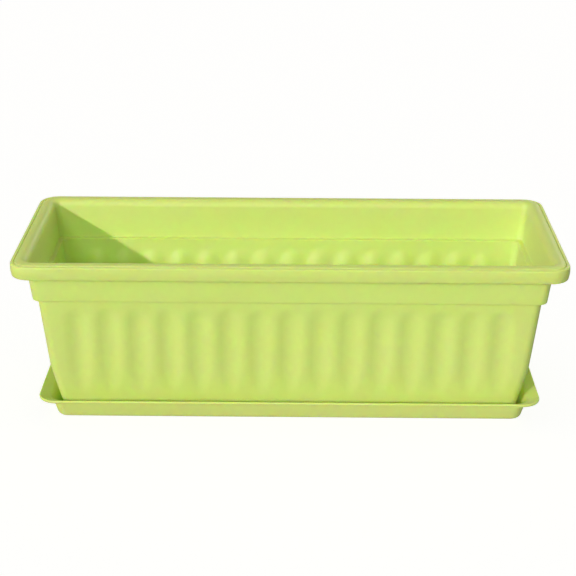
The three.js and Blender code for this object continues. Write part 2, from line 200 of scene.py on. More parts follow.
def fill(bm, *loops):
    """Triangles over the flat area inside the first loop and outside the others."""
    edges = []
    for loop in loops:
        for i, vert in enumerate(loop):
            other = loop[(i + 1) % len(loop)]
            edges.append(bm.edges.get((vert, other)) or bm.edges.new((vert, other)))
    bmesh.ops.triangle_fill(bm, edges=edges, use_beauty=True, use_dissolve=False)


def circle(x, y, radius, steps=32):
    angles = np.linspace(0, 2 * math.pi, steps, endpoint=False)
    return np.stack([x + radius * np.cos(angles), y + radius * np.sin(angles)], 1)


def slot_outline(x, y, width, length, steps=6):
    """A slot along Y with rounded ends."""
    radius = width / 2
    straight = length / 2 - radius
    top = np.linspace(0, math.pi, steps + 1)
    xs = np.concatenate([radius * np.cos(top), radius * np.cos(top + math.pi)])
    ys = np.concatenate([straight + radius * np.sin(top), -straight + radius * np.sin(top + math.pi)])
    return np.stack([x + xs, y + ys], 1)


def grown(points, distance):
    """A closed outline moved outwards along its own normals."""
    ahead = np.roll(points, -1, axis=0) - points
    behind = points - np.roll(points, 1, axis=0)
    unit = lambda vectors: vectors / np.linalg.norm(vectors, axis=1)[:, None]
    tangent = unit(unit(ahead) + unit(behind))
    normal = np.stack([tangent[:, 1], -tangent[:, 0]], 1)
    return points + normal * distance


def hole_wall(bm, outline, bottom, top, ease):
    """A hole's wall with eased edges. Returns its loops in the lower and the upper face."""
    rows = [(ease, bottom), (ease * 0.3, bottom + ease * 0.3), (0, bottom + ease)]
    rows += [(0, top - ease), (ease * 0.3, top - ease * 0.3), (ease, top)]
    loops = [add_loop(bm, grown(outline, out), height) for out, height in rows]
    for first, second in zip(loops, loops[1:]):
        bridge(bm, first, second)
    return loops[0], loops[-1]


# ---- Trough -----------------------------------------------------------------------------------


def smooth_max(a, b, blend):
    """The larger of two values, with the change from one to the other rounded off."""
    near = np.maximum(blend - np.abs(a - b), 0)
    return np.maximum(a, b) + near * near / (4 * blend)


def flute_wave(distance):
    """How deep the flute wave lies at a distance from a flute's centre: a parabola in the hollow,
    and one the other way up over the ridge, which meet with one slope."""
    half = FLUTE_PITCH / 2
    ridge = half - FLUTE_HOLLOW
    hollow_drop = FLUTE_DEPTH * FLUTE_HOLLOW / half
    inside = FLUTE_DEPTH - hollow_drop * (distance / FLUTE_HOLLOW) ** 2
    over = (FLUTE_DEPTH - hollow_drop) * (np.maximum(half - distance, 0) / ridge) ** 2
    return np.where(distance < FLUTE_HOLLOW, inside, over)


def flute_depth(stations, count, height):
    """Depth of the flutes at places along a side. Each flute ends in a round top."""
    shifted = stations / FLUTE_PITCH + (0 if count % 2 else 0.5)
    across = np.abs(shifted - np.round(shifted)) * FLUTE_PITCH
    rise = max(0.0, height - (FLUTE_TOP - FLUTE_TOP_RUN)) * (FLUTE_PITCH / 2) / FLUTE_TOP_RUN
    return flute_wave(np.hypot(across, rise))


def body_inset(height, depth=0.0):
    """The lower wall leans in more than the flutes' hollows, so it trims the flutes to points."""
    upper = KNEE_INSET + UPPER_LEAN * (KNEE - height) + depth
    lower = KNEE_INSET + LOWER_LEAN * (KNEE - height)
    return smooth_max(upper, lower, KNEE_BLEND)


def flute_stations(count):
    """Places along a side at which the flutes are sampled."""
    half = count * FLUTE_PITCH / 2
    return np.linspace(-half, half, count * FLUTE_SAMPLES + 1)


LONG_STATIONS = flute_stations(FLUTE_COUNT_LONG)
END_STATIONS = flute_stations(FLUTE_COUNT_END)


def trough_loop(bm, inset, height, radius, fluted, thickness=0.0):
    pushes = None
    if fluted:
        pushes = [
            body_inset(height, flute_depth(stations, count, height)) + thickness - inset
            for stations, count in ((LONG_STATIONS, FLUTE_COUNT_LONG), (END_STATIONS, FLUTE_COUNT_END))
        ]
    points = plan_loop(RIM_LENGTH - inset, RIM_DEPTH - inset, radius, LONG_STATIONS, END_STATIONS, pushes)
    return add_loop(bm, points, height)


def band_inset(height):
    """The band above the step leans outwards towards the rim."""
    return BAND_INSET - BAND_LEAN * (height - STEP - 1.6)


def rounding(inset, height, rise, radius):
    """Rows of the quarter ellipse that turns a wall outwards into the rim's flat."""
    rows = []
    for angle in np.linspace(0, math.pi / 2, 10)[1:-1]:
        out = (inset - RIM_FLAT) * (1 - math.cos(angle))
        rows.append(np.array([inset - out, height + rise * math.sin(angle), radius + out]))
    return rows


def trough_profile():
    """Rows of the trough's wall from under the floor, up the outside, over the rim and down the
    inside to the floor. Each row is (inset, height, plan radius, fluted, thickness)."""
    body_top = STEP - 4
    body_start = BOX_BOTTOM + 8
    foot_inset = float(body_inset(BOX_BOTTOM))
    plain = lambda rows: [(i, z, r, False, 0.0) for i, z, r in rows]
    heights = np.arange(body_start + ROW_SPACING, body_top, ROW_SPACING)
    start_inset = float(body_inset(body_start))
    top_inset = float(body_inset(body_top))
    step_inset = float(body_inset(STEP))
    foot = fillet([
        (foot_inset + 9, BOX_BOTTOM, BODY_RADIUS - 6, 0),
        (foot_inset, BOX_BOTTOM, BODY_RADIUS - 1, 5.0),
        (start_inset, body_start, BODY_RADIUS, 0),
    ])
    outside = [(float(body_inset(z)), z, BODY_RADIUS, True, 0.0) for z in heights]
    rounding_bottom = RIM_TOP - RIM_ROUNDING
    band_top = band_inset(rounding_bottom)
    outside_rim = fillet([
        (top_inset, body_top, BODY_RADIUS, 0),
        (step_inset + 0.05, STEP - 0.2, BODY_RADIUS, 0.7),
        (BAND_INSET, STEP + 1.4, BAND_RADIUS, 1.2),
        (band_top, rounding_bottom, BAND_RADIUS - 1, 0),
    ])
    skirt = fillet([
        (RIM_FLAT, RIM_TOP - WALL, BAND_RADIUS - 1 + band_top - RIM_FLAT, 0),
        (2.5, RIM_TOP - RIM_CROWN - WALL, RIM_RADIUS - 2.5, 1.5),
        (2.9, SKIRT_BOTTOM, RIM_RADIUS - 2.6, 0.8),
        (1.1, SKIRT_BOTTOM, RIM_RADIUS - 0.9, 0.8),
        (-0.2, RIM_TOP - 9.5, RIM_RADIUS, 60.0),
        (0.3, RIM_TOP - RIM_CROWN - 0.2, RIM_RADIUS - 0.5, 3.0),
        (RIM_GROOVE, RIM_TOP - RIM_CROWN + 0.3, RIM_RADIUS - RIM_GROOVE, 0.3),
        (RIM_GROOVE + 0.4, RIM_TOP - RIM_CROWN - 0.9, RIM_RADIUS - RIM_GROOVE - 0.4, 0.3),
        (RIM_GROOVE + 1.2, RIM_TOP - RIM_CROWN - 0.9, RIM_RADIUS - RIM_GROOVE - 1.2, 0.3),
        (RIM_GROOVE + 1.8, RIM_TOP - RIM_CROWN + 0.6, RIM_RADIUS - RIM_GROOVE - 1.8, 0.3),
        (RIM_FLAT - 2, RIM_TOP, BAND_RADIUS + 1 + band_top - RIM_FLAT, 6.0),
        (RIM_FLAT, RIM_TOP, BAND_RADIUS - 1 + band_top - RIM_FLAT, 0),
    ], 2.5)
    inside_rim = fillet([
        (band_top + WALL, rounding_bottom, BAND_RADIUS - 1 - WALL, 0),
        (band_inset(LEDGE) + WALL, LEDGE, BAND_RADIUS - WALL, 0.35),
        (step_inset + WALL, LEDGE - 0.3, BODY_RADIUS - WALL, 0.45),
        (top_inset + WALL, body_top, BODY_RADIUS - WALL, 0),
    ])
    under_rounding = rounding(band_top, rounding_bottom, RIM_ROUNDING - WALL, BAND_RADIUS - 1)
    top_rounding = rounding(band_top + WALL, rounding_bottom, RIM_ROUNDING, BAND_RADIUS - 1 - WALL)
    rim = outside_rim + under_rounding + skirt + top_rounding[::-1] + inside_rim
    inner_radius = BODY_RADIUS - WALL
    inside = [(float(body_inset(z)) + WALL, z, inner_radius, True, WALL) for z in heights[::-1]]
    floor_edge = fillet([
        (start_inset + WALL, body_start, inner_radius, 0),
        (foot_inset + WALL - 0.4, BOX_BOTTOM + FLOOR, inner_radius - 1, 4.0),
        (foot_inset + 9, BOX_BOTTOM + FLOOR, inner_radius - 4, 0),
    ])
    return plain(foot) + outside + plain(rim) + inside + plain(floor_edge)


CUP_PLACES = [
    ((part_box(f"wick_cup_{name}")[0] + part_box(f"wick_cup_{name}")[1]) / 2 / MM, name)
    for name in ("right_inner", "right_outer", "left_inner", "left_outer")
]
PORT_RADIUS = 9.0
DRAIN_RADIUS = 4.5
DRAIN_REACH = 40.0
DRAIN_SIDE = 20.0


def floor_holes():
    """Cord ports under the cups, with drain holes round each."""
    holes = []
    for centre, _ in CUP_PLACES:
        holes.append(circle(centre.x, 0, PORT_RADIUS, 40))
        for side_x in (-DRAIN_REACH, DRAIN_REACH):
            for side_y in (-DRAIN_SIDE, DRAIN_SIDE):
                holes.append(circle(centre.x + side_x, side_y, DRAIN_RADIUS, 24))
    return holes


def build_trough(material):
    bm = bmesh.new()
    loops = [trough_loop(bm, *row) for row in trough_profile()]
    for first, second in zip(loops, loops[1:]):
        bridge(bm, first, second)
    under, over = [], []
    for outline in floor_holes():
        lower, upper = hole_wall(bm, outline, BOX_BOTTOM, BOX_BOTTOM + FLOOR, 0.4)
        under.append(lower)
        over.append(upper)
    fill(bm, loops[0], *under)
    fill(bm, loops[-1], *over)
    return make_object("trough", bm, "box", material, ["planter_box"])


# ---- Tray -------------------------------------------------------------------------------------

TRAY_RADIUS = 21.0
TRAY_WALL_RADIUS = 14.0
TRAY_LIP = 13.5
TRAY_WALL_TOP = TRAY_TOP - 7.7
TRAY_LEAN = 0.24
TRAY_CORNER_ROOM = 40.0
RIB_TOP = BOX_BOTTOM - 0.3
RIB_WIDTH = 2.5
LONG_RIB = 460.0
LONG_RIB_SIDE = 40.0
CROSS_RIB = 74.4
OUTER_RIB = 17.2
OUTER_RIB_SIDE = 51.4
CROSS_RIB_PLACES = (-128.0, 0.0, 128.0)


def tray_profile():
    """Rows of the tray's wall from under its floor, up the outside, over the lip and down inside."""
    foot = TRAY_LIP + TRAY_LEAN * TRAY_WALL_TOP
    return fillet([
        (foot + 8, 0, TRAY_WALL_RADIUS - 7, 0),
        (foot, 0, TRAY_WALL_RADIUS - 1, 4.6),
        (TRAY_LIP + 0.2, TRAY_WALL_TOP, TRAY_WALL_RADIUS, 5.0),
        (0.6, TRAY_TOP - 3.4, TRAY_RADIUS - 0.6, 0.7),
        (0.0, TRAY_TOP - 1.6, TRAY_RADIUS, 3.0),
        (0.7, TRAY_TOP, TRAY_RADIUS - 0.7, 1.2),
        (TRAY_LIP - 0.2, TRAY_TOP - 5.7, TRAY_WALL_RADIUS + 0.6, 8.0),
        (foot + WALL, FLOOR, TRAY_WALL_RADIUS - WALL, 5.0),
        (foot + 9, FLOOR, TRAY_WALL_RADIUS - 8, 0),
    ], 4.0)


def tray_ribs():
    """Outlines of the ribs that hold the trough off the tray's floor. The cross ribs stop just
    short of the long ones on both sides."""
    sides = (-LONG_RIB_SIDE, LONG_RIB_SIDE)
    outer_sides = (-OUTER_RIB_SIDE, OUTER_RIB_SIDE)
    ribs = [turned(slot_outline(side, 0, RIB_WIDTH, LONG_RIB)) for side in sides]
    for place in CROSS_RIB_PLACES:
        ribs.append(slot_outline(place, 0, RIB_WIDTH, CROSS_RIB))
        ribs += [slot_outline(place, side, RIB_WIDTH, OUTER_RIB) for side in outer_sides]
    return ribs


def turned(points):
    """An outline turned a quarter turn."""
    return np.stack([-points[:, 1], points[:, 0]], 1)


def build_tray(material):
    bm = bmesh.new()
    stations = np.linspace(-0.9, 0.9, 19)
    long_stations = stations * (TRAY_LENGTH - TRAY_CORNER_ROOM)
    end_stations = stations[::2] * (TRAY_DEPTH - TRAY_CORNER_ROOM)
    loops = []
    for inset, height, radius in tray_profile():
        points = plan_loop(TRAY_LENGTH - inset, TRAY_DEPTH - inset, radius, long_stations, end_stations)
        loops.append(add_loop(bm, points, height))
    for first, second in zip(loops, loops[1:]):
        bridge(bm, first, second)
    fill(bm, loops[0])
    feet = []
    for outline in tray_ribs():
        rows = [(0.5, FLOOR), (0.1, FLOOR + 0.5), (0, RIB_TOP - 0.4)]
        rows += [(-0.15, RIB_TOP - 0.1), (-0.5, RIB_TOP)]
        rib = [add_loop(bm, grown(outline, out), height) for out, height in rows]
        for first, second in zip(rib, rib[1:]):
            bridge(bm, first, second)
        fill(bm, rib[-1])
        feet.append(rib[0])
    fill(bm, loops[-1], *feet)
    piece = make_object("tray", bm, "tray", material, ["reservoir_tray"])
    weight_normals(piece)
    return piece


# ---- Soil platforms ---------------------------------------------------------------------------

PLATE_TOP = platform_high.z / MM
PLATE_BOTTOM = PLATE_TOP - 2.0
PLATE_EDGE_BOTTOM = PLATE_TOP - 6.0
LEG_BOTTOM = platform_low.z / MM
LEG_PLACES = [(x, y) for x in (16.0, 128.0, 242.0) for y in (-61.0, 61.0)]
LEG_RADIUS = 6.0
SLOT_ROWS = (-52.0, -30.0, -8.0, 8.0, 30.0, 52.0)
SLOT_COLUMNS = np.arange(16.0, 246.0, 15.0)
SLOT_WIDTH = 4.0
SLOT_LENGTH = 14.0
INNER_CORNER = 4.0
OUTER_CORNER = 8.0
CUP_FLANGE = (cup_high.x - cup_low.x) / 2 / MM
CUP_MOUTH = CUP_FLANGE - 7.0
RIGHT_CUPS = [centre.x for centre, name in CUP_PLACES if name.startswith("right")]


def platform_outline():
    """The right-hand platform's plan: round outer corners, and squarer ones where the halves meet."""
    x0, x1 = platform_low.x / MM, platform_high.x / MM
    y0, y1 = platform_low.y / MM, platform_high.y / MM
    points = []
    corners = (
        (x0, y0, INNER_CORNER), (x1, y0, OUTER_CORNER), (x1, y1, OUTER_CORNER), (x0, y1, INNER_CORNER),
    )
    for turn, (x, y, radius) in enumerate(corners):
        centre_x = x + radius if x == x0 else x - radius
        centre_y = y + radius if y == y0 else y - radius
        angles = math.pi + turn * math.pi / 2 + np.linspace(0, math.pi / 2, 9)
        arc_x = centre_x + radius * np.cos(angles)
        arc_y = centre_y + radius * np.sin(angles)
        points.append(np.stack([arc_x, arc_y], 1))
    return np.concatenate(points)


def clear_slots():
    """Slots that cut neither a cup's seat nor a leg."""
    reach = SLOT_LENGTH / 2 + 2
    slots = []
    for x in SLOT_COLUMNS:
        for y in SLOT_ROWS:
            near_cup = any(math.hypot(x - cup_x, y) < CUP_FLANGE + reach for cup_x in RIGHT_CUPS)
            near_leg = any(math.dist((x, y), leg) < LEG_RADIUS + reach for leg in LEG_PLACES)
            if not (near_cup or near_leg):
                slots.append(slot_outline(x, y, SLOT_WIDTH, SLOT_LENGTH))
    return slots


def stack(bm, rows):
    """Bridges a stack of (outline, height) rows and returns its first and last loop."""
    loops = [add_loop(bm, points, height) for points, height in rows]
    for first, second in zip(loops, loops[1:]):
        bridge(bm, first, second)
    return loops[0], loops[-1]


def build_platform(side, material):
    bm = bmesh.new()
    outline = platform_outline()
    edge_rows = [
        (-0.7, PLATE_TOP), (-0.2, PLATE_TOP - 0.2), (0, PLATE_TOP - 0.7), (0, PLATE_EDGE_BOTTOM + 0.5),
        (-0.15, PLATE_EDGE_BOTTOM + 0.15), (-0.5, PLATE_EDGE_BOTTOM), (-1.3, PLATE_EDGE_BOTTOM),
        (-1.65, PLATE_EDGE_BOTTOM + 0.15), (-1.8, PLATE_EDGE_BOTTOM + 0.5), (-1.8, PLATE_BOTTOM - 0.6),
        (-2.0, PLATE_BOTTOM - 0.2), (-2.5, PLATE_BOTTOM),
    ]
    top_edge, under_edge = stack(bm, [(grown(outline, out), height) for out, height in edge_rows])
    top_holes, under_holes = [], []
    for slot in clear_slots():
        lower, upper = hole_wall(bm, slot, PLATE_BOTTOM, PLATE_TOP, 0.4)
        under_holes.append(lower)
        top_holes.append(upper)
    for x in RIGHT_CUPS:
        seat = CUP_MOUTH + 0.6
        collar = CUP_FLANGE + 1.0
        ring_rows = [
            (collar + 2.3, PLATE_TOP), (collar + 1.9, PLATE_TOP + 1.1), (collar + 1.5, PLATE_TOP + 1.4),
            (collar + 0.8, PLATE_TOP + 1.4), (collar + 0.4, PLATE_TOP + 1.1), (collar, PLATE_TOP),
            (seat + 0.5, PLATE_TOP), (seat + 0.15, PLATE_TOP - 0.15), (seat, PLATE_TOP - 0.5),
            (seat, PLATE_BOTTOM + 0.4), (seat + 0.4, PLATE_BOTTOM),
        ]
        upper, lower = stack(bm, [(circle(x, 0, radius, 72), height) for radius, height in ring_rows])
        top_holes.append(upper)
        under_holes.append(lower)
    for x, y in LEG_PLACES:
        leg_rows = [
            (0.9, PLATE_BOTTOM), (0.3, PLATE_BOTTOM - 0.3), (0.0, PLATE_BOTTOM - 1), (-0.2, LEG_BOTTOM + 0.5),
            (-0.6, LEG_BOTTOM), (-1.2, LEG_BOTTOM), (-1.6, LEG_BOTTOM + 0.5), (-1.6, PLATE_BOTTOM - 0.6),
            (-2.2, PLATE_BOTTOM),
        ]
        leg = [(circle(x, y, LEG_RADIUS + out, 28), height) for out, height in leg_rows]
        foot, bore_end = stack(bm, leg)
        under_holes.append(foot)
        fill(bm, bore_end)
    fill(bm, top_edge, *top_holes)
    fill(bm, under_edge, *under_holes)
    if side == "left":
        bmesh.ops.transform(bm, matrix=Matrix.Rotation(math.pi, 4, "Z"), verts=bm.verts)
    name = f"platform_{side}"
    piece = make_object(name, bm, name, material, [f"soil_{name}"])
    weight_normals(piece)
    return piece


# ---- Wick cups --------------------------------------------------------------------------------

CUP_TOP = cup_high.z / MM
CUP_BOTTOM = cup_low.z / MM
CUP_SEAT = CUP_TOP - 2.0
CUP_FOOT = CUP_MOUTH - 7.0
CUP_WALL = 1.8
CUP_CORD_HOLE = 4.0
CUP_SLOTS = 12
CUP_SLOT_BOTTOM = CUP_BOTTOM + 3.8
CUP_SLOT_TOP = CUP_SEAT - 3.0
CUP_SLOT_ANGLE = 3.2


def cup_profile():
    """Closed outline of the cup's wall as (radius, height, in the slots' span or not)."""
    lean = (CUP_MOUTH - CUP_FOOT) / (CUP_SEAT - CUP_BOTTOM)
    wall_radius = lambda height: CUP_FOOT + lean * (height - CUP_BOTTOM)
    span = np.linspace(CUP_SLOT_BOTTOM, CUP_SLOT_TOP, 5)
    floor_top = CUP_BOTTOM + CUP_WALL
    rows = [
        (CUP_CORD_HOLE + 0.4, CUP_BOTTOM), (CUP_FOOT - 1.6, CUP_BOTTOM), (CUP_FOOT - 0.5, CUP_BOTTOM + 0.4),
        (wall_radius(CUP_BOTTOM + 1.6), CUP_BOTTOM + 1.6),
    ]
    outer_first = len(rows)
    rows += [(wall_radius(height), height) for height in span]
    rows += [
        (wall_radius(CUP_SEAT - 0.6), CUP_SEAT - 0.6), (CUP_MOUTH + 0.6, CUP_SEAT),
        (CUP_FLANGE - 0.4, CUP_SEAT), (CUP_FLANGE, CUP_SEAT + 0.4), (CUP_FLANGE, CUP_TOP - 0.5),
        (CUP_FLANGE - 0.15, CUP_TOP - 0.15), (CUP_FLANGE - 0.5, CUP_TOP), (CUP_FLANGE - 1.6, CUP_TOP),
        (CUP_FLANGE - 2.1, CUP_TOP - 0.45), (CUP_MOUTH, CUP_TOP - 0.45), (CUP_MOUTH - 1.2, CUP_TOP - 0.9),
    ]
    inner_first = len(rows)
    rows += [(wall_radius(height) - CUP_WALL, height) for height in span[::-1]]
    rows += [
        (wall_radius(floor_top + 1.2) - CUP_WALL, floor_top + 1.2), (CUP_FOOT - 2.6, floor_top + 0.2),
        (CUP_FOOT - 3.8, floor_top), (CUP_CORD_HOLE + 0.4, floor_top), (CUP_CORD_HOLE, floor_top - 0.4),
        (CUP_CORD_HOLE, CUP_BOTTOM + 0.4),
    ]
    return rows, outer_first, inner_first, len(span)


def build_cup(name, centre_x, material):
    """The profile turned round the cup's centre, left open where the slots pass through the wall."""
    rows, outer_first, inner_first, span = cup_profile()
    sector = 360 / CUP_SLOTS
    slot = CUP_SLOT_ANGLE
    steps = (-sector / 2, -sector / 3, -sector / 5, -slot, slot, sector / 5, sector / 3)
    angles = [math.radians(sector * (k + 0.5) + step) for k in range(CUP_SLOTS) for step in steps]
    in_slot = [steps[i % len(steps)] == -slot for i in range(len(angles))]
    bm = bmesh.new()
    grid = [
        [bm.verts.new(((centre_x + r * math.cos(a)) * MM, r * math.sin(a) * MM, z * MM)) for r, z in rows]
        for a in angles
    ]
    walls = ((outer_first, outer_first + span - 1), (inner_first, inner_first + span - 1))
    for i, column in enumerate(grid):
        beside = grid[(i + 1) % len(grid)]
        for j in range(len(rows)):
            k = (j + 1) % len(rows)
            if in_slot[i] and any(low <= j < high for low, high in walls):
                continue
            bm.faces.new((column[j], beside[j], beside[k], column[k]))
        if in_slot[i]:
            line_slot(bm, column, beside, outer_first, inner_first, span)
    piece_name = f"cup_{name}"
    piece = make_object(piece_name, bm, piece_name, material, [f"wick_{piece_name}"])
    weight_normals(piece)
    return piece


def line_slot(bm, column, beside, outer_first, inner_first, span):
    """The four small faces that line a slot through the cup's wall."""
    outer = range(outer_first, outer_first + span)
    inner = range(inner_first + span - 1, inner_first - 1, -1)
    pairs = list(zip(outer, inner))
    for (a, b), (c, d) in zip(pairs, pairs[1:]):
        bm.faces.new((column[a], column[c], column[d], column[b]))
        bm.faces.new((beside[a], beside[b], beside[d], beside[c]))
    for a, b in (pairs[0], pairs[-1]):
        bm.faces.new((column[a], column[b], beside[b], beside[a]))


# ---- Wick cords -------------------------------------------------------------------------------

CORD_TOP = cord_high.z / MM
CORD_BOTTOM = cord_low.z / MM
STRANDS = 3
STRAND_RADIUS = 1.42
STRAND_OFFSET = 1.45
STRAND_SIDES = 10
TWIST_PITCH = 15.0
KNOT_BOTTOM = CUP_BOTTOM + CUP_WALL + 0.4
KNOT_TURNS = 2.6
KNOT_COIL_RADIUS = 3.9
KNOT_CORD_RADIUS = 1.7
KNOT_HEIGHT = 7.6
KNOT_STEPS = 70


def sweep(bm, path, radii, sides):
    """A closed tube of changing radius along a path of points in millimetres."""
    path = [Vector(point) for point in path]
    side = Vector((1, 0, 0))
    loops = []
    for i, here in enumerate(path):
        tangent = (path[min(i + 1, len(path) - 1)] - path[max(i - 1, 0)]).normalized()
        side = (side - tangent * side.dot(tangent)).normalized()
        other = tangent.cross(side)
        ring = []
        for k in range(sides):
            angle = 2 * math.pi * k / sides
            point = here + (side * math.cos(angle) + other * math.sin(angle)) * radii[i]
            ring.append(bm.verts.new(point * MM))
        loops.append(ring)
    for first, second in zip(loops, loops[1:]):
        bridge(bm, first, second)
    for loop, end in ((loops[0], path[0]), (loops[-1], path[-1])):
        tip = bm.verts.new(end * MM)
        for k in range(sides):
            bm.faces.new((loop[k], loop[(k + 1) % sides], tip))


def strand_path(strand, centre_x, rng):
    """One strand winds up the cord, and leans out where the cord's cut ends fray."""
    start = 2 * math.pi * strand / STRANDS
    phase = rng.uniform(-0.5, 0.5)
    points, radii = [], []
    for height in np.arange(CORD_BOTTOM + 0.4, CORD_TOP - 0.4, 1.1):
        angle = start + 2 * math.pi * height / TWIST_PITCH
        fray = max(0.0, (height - (CORD_TOP - 12)) / 12) ** 2 * 2.2
        fray += max(0.0, (CORD_BOTTOM + 3 - height) / 3) ** 2 * 0.6
        offset = STRAND_OFFSET + fray
        sway = 0.5 * math.sin(height / 11 + phase) * min(1.0, max(0.0, (height - 30) / 10))
        points.append((centre_x + offset * math.cos(angle) + sway, offset * math.sin(angle), height))
        radii.append(STRAND_RADIUS * (1 + 0.05 * math.sin(height * 2.1 + strand)))
    return points, radii


def build_cord(name, centre_x, seed, material):
    """Twisted strands through the cup's floor, with a coil round them for the knot."""
    rng = random.Random(seed)
    bm = bmesh.new()
    for strand in range(STRANDS):
        points, radii = strand_path(strand, centre_x, rng)
        sweep(bm, points, radii, STRAND_SIDES)
    start = rng.uniform(0, 2 * math.pi)
    coil, coil_radii = [], []
    for i in range(KNOT_STEPS + 1):
        share = i / KNOT_STEPS
        angle = start + share * KNOT_TURNS * 2 * math.pi
        tuck = min(1.0, share * 9, (1 - share) * 9)
        radius = KNOT_COIL_RADIUS * (0.45 + 0.55 * tuck)
        height = KNOT_BOTTOM + KNOT_CORD_RADIUS + share * KNOT_HEIGHT
        coil.append((centre_x + radius * math.cos(angle), radius * math.sin(angle), height))
        coil_radii.append(KNOT_CORD_RADIUS * (0.6 + 0.4 * tuck))
    sweep(bm, coil, coil_radii, STRAND_SIDES)
    piece_name = f"cord_{name}"
    return make_object(piece_name, bm, f"cup_{name}", material, [f"wick_{piece_name}"])


# ---- Materials --------------------------------------------------------------------------------


class Recipe:
    """A node material, built up a node at a time."""

    def __init__(self, name):
        self.material = bpy.data.materials.new(name)
        self.material.use_nodes = True
        self.tree = self.material.node_tree
        self.tree.nodes.clear()
        output = self.tree.nodes.new("ShaderNodeOutputMaterial")
        self.shader = self.tree.nodes.new("ShaderNodeBsdfPrincipled")
        self.link(self.shader.outputs["BSDF"], output.inputs["Surface"])
        self.place = self.tree.nodes.new("ShaderNodeTexCoord").outputs["Object"]

    def link(self, source, target):
        self.tree.links.new(source, target)

    def node(self, kind, inputs=None, **settings):
        made = self.tree.nodes.new(kind)
        for key, value in settings.items():
            setattr(made, key, value)
        for key, value in (inputs or {}).items():
            if isinstance(value, bpy.types.NodeSocket):
                self.link(value, made.inputs[key])
            else:
                made.inputs[key].default_value = value
        return made

    def noise(self, scale, detail=3.0, roughness=0.5, stretch=None):
        place = self.place
        if stretch:
            place = self.node("ShaderNodeMapping", {"Vector": place, "Scale": stretch}).outputs["Vector"]
        settings = {"Vector": place, "Scale": scale, "Detail": detail, "Roughness": roughness}
        return self.node("ShaderNodeTexNoise", settings).outputs["Fac"]

    def ramp(self, factor, low, high, low_at=0.3, high_at=0.7):
        made = self.node("ShaderNodeMapRange", {
            "Value": factor, "From Min": low_at, "From Max": high_at, "To Min": low, "To Max": high,
        })
        return made.outputs["Result"]

    def mix(self, factor, first, second, blend="MIX"):
        made = self.node("ShaderNodeMix", data_type="RGBA", blend_type=blend)
        for socket, value in ((made.inputs[0], factor), (made.inputs[6], first), (made.inputs[7], second)):
            if isinstance(value, bpy.types.NodeSocket):
                self.link(value, socket)
            else:
                socket.default_value = value
        return made.outputs[2]

    def bump(self, *layers):
        """Layers of (height, distance in metres, strength), one on top of the other."""
        normal = None
        for height, distance, strength in layers:
            inputs = {"Height": height, "Distance": distance, "Strength": strength}
            if normal:
                inputs["Normal"] = normal
            normal = self.node("ShaderNodeBump", inputs).outputs["Normal"]
        self.link(normal, self.shader.inputs["Normal"])

    def set(self, **values):
        for key, value in values.items():
            socket = self.shader.inputs[key.replace("_", " ")]
            if isinstance(value, bpy.types.NodeSocket):
                self.link(value, socket)
            else:
                socket.default_value = value


def lime_plastic():
    """Injection-moulded lime polypropylene: satin, a little translucent, with faint flow clouds
    and an orange-peel skin."""
    recipe = Recipe("lime_plastic")
    clouds = recipe.noise(7.0, 4.0, 0.6)
    streaks = recipe.noise(5.0, 2.0, 0.5, stretch=(1.0, 1.0, 6.0))
    skin = recipe.noise(900.0, 2.0, 0.5)
    peel = recipe.noise(160.0, 2.0, 0.4)
    colour = recipe.mix(recipe.ramp(clouds, 0.0, 1.0), (0.645, 0.765, 0.205, 1), (0.665, 0.780, 0.225, 1))
    colour = recipe.mix(recipe.ramp(streaks, 0.0, 0.35), colour, (0.665, 0.765, 0.230, 1))
    recipe.set(Base_Color=colour, Roughness=recipe.ramp(clouds, 0.42, 0.52), IOR=1.49)
    recipe.set(Subsurface_Weight=1.0, Subsurface_Radius=(0.55, 1.0, 0.12), Subsurface_Scale=0.004)
    recipe.bump((peel, 0.00025, 0.25), (skin, 0.00006, 0.3))
    return recipe.material


def charcoal_plastic():
    """Dark recycled polypropylene with a fine spark-eroded grain."""
    recipe = Recipe("charcoal_plastic")
    clouds = recipe.noise(20.0, 4.0, 0.6)
    grain = recipe.noise(1400.0, 3.0, 0.6)
    specks = recipe.noise(420.0, 1.0, 0.4)
    colour = recipe.mix(recipe.ramp(clouds, 0.0, 1.0), (0.030, 0.034, 0.030, 1), (0.044, 0.049, 0.043, 1))
    colour = recipe.mix(recipe.ramp(specks, 0.0, 0.5, 0.62, 0.72), colour, (0.10, 0.11, 0.10, 1))
    recipe.set(Base_Color=colour, Roughness=recipe.ramp(clouds, 0.5, 0.65), IOR=1.49)
    recipe.bump((grain, 0.00012, 0.5))
    return recipe.material


def cotton_cord():
    """Unbleached cotton, with fibres that run along the twist and a felted sheen."""
    recipe = Recipe("cotton_cord")
    fibres = recipe.noise(900.0, 3.0, 0.6, stretch=(1.0, 1.0, 0.35))
    clouds = recipe.noise(130.0, 3.0, 0.5)
    colour = recipe.mix(recipe.ramp(clouds, 0.0, 1.0), (0.72, 0.66, 0.52, 1), (0.84, 0.80, 0.70, 1))
    colour = recipe.mix(recipe.ramp(fibres, 0.45, 0.0), colour, (0.52, 0.45, 0.33, 1))
    recipe.set(Base_Color=colour, Roughness=0.92, Sheen_Weight=0.4, Sheen_Roughness=0.5)
    recipe.bump((fibres, 0.0005, 0.7))
    return recipe.material


# ---- Stage, light and camera ------------------------------------------------------------------

